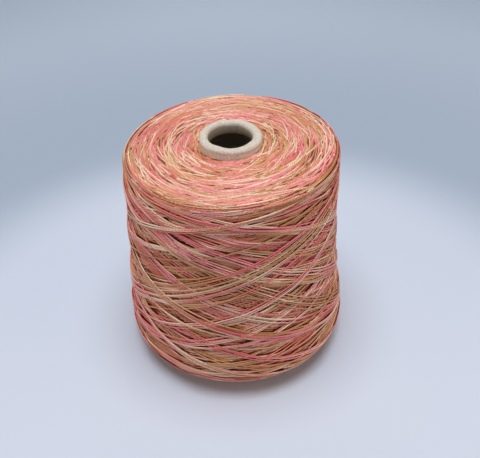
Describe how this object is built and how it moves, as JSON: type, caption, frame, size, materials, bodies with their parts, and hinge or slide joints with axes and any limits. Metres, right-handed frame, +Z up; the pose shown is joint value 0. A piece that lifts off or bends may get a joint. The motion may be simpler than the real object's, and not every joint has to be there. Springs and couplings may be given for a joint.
{
  "type": "cone of yarn",
  "caption": "Soft multicoloured yarn cross-wound on a tapered paper cone with a rolled nose, standing upright.",
  "frame": {"origin": "centre of the paper cone's base ring, on the surface it stands on", "axes": "+Z up along the cone's axis, -Y towards the side that the picture shows"},
  "size_m": [0.1629, 0.1635, 0.17],
  "materials": {
    "paper": "matt, fibrous",
    "yarn": "matt, plied, dyed in pink, coral, ochre and cream lengths"
  },
  "bodies": {
    "root": {"paper_cone": "paper", "wound_yarn": "yarn"}
  },
  "joints": []
}
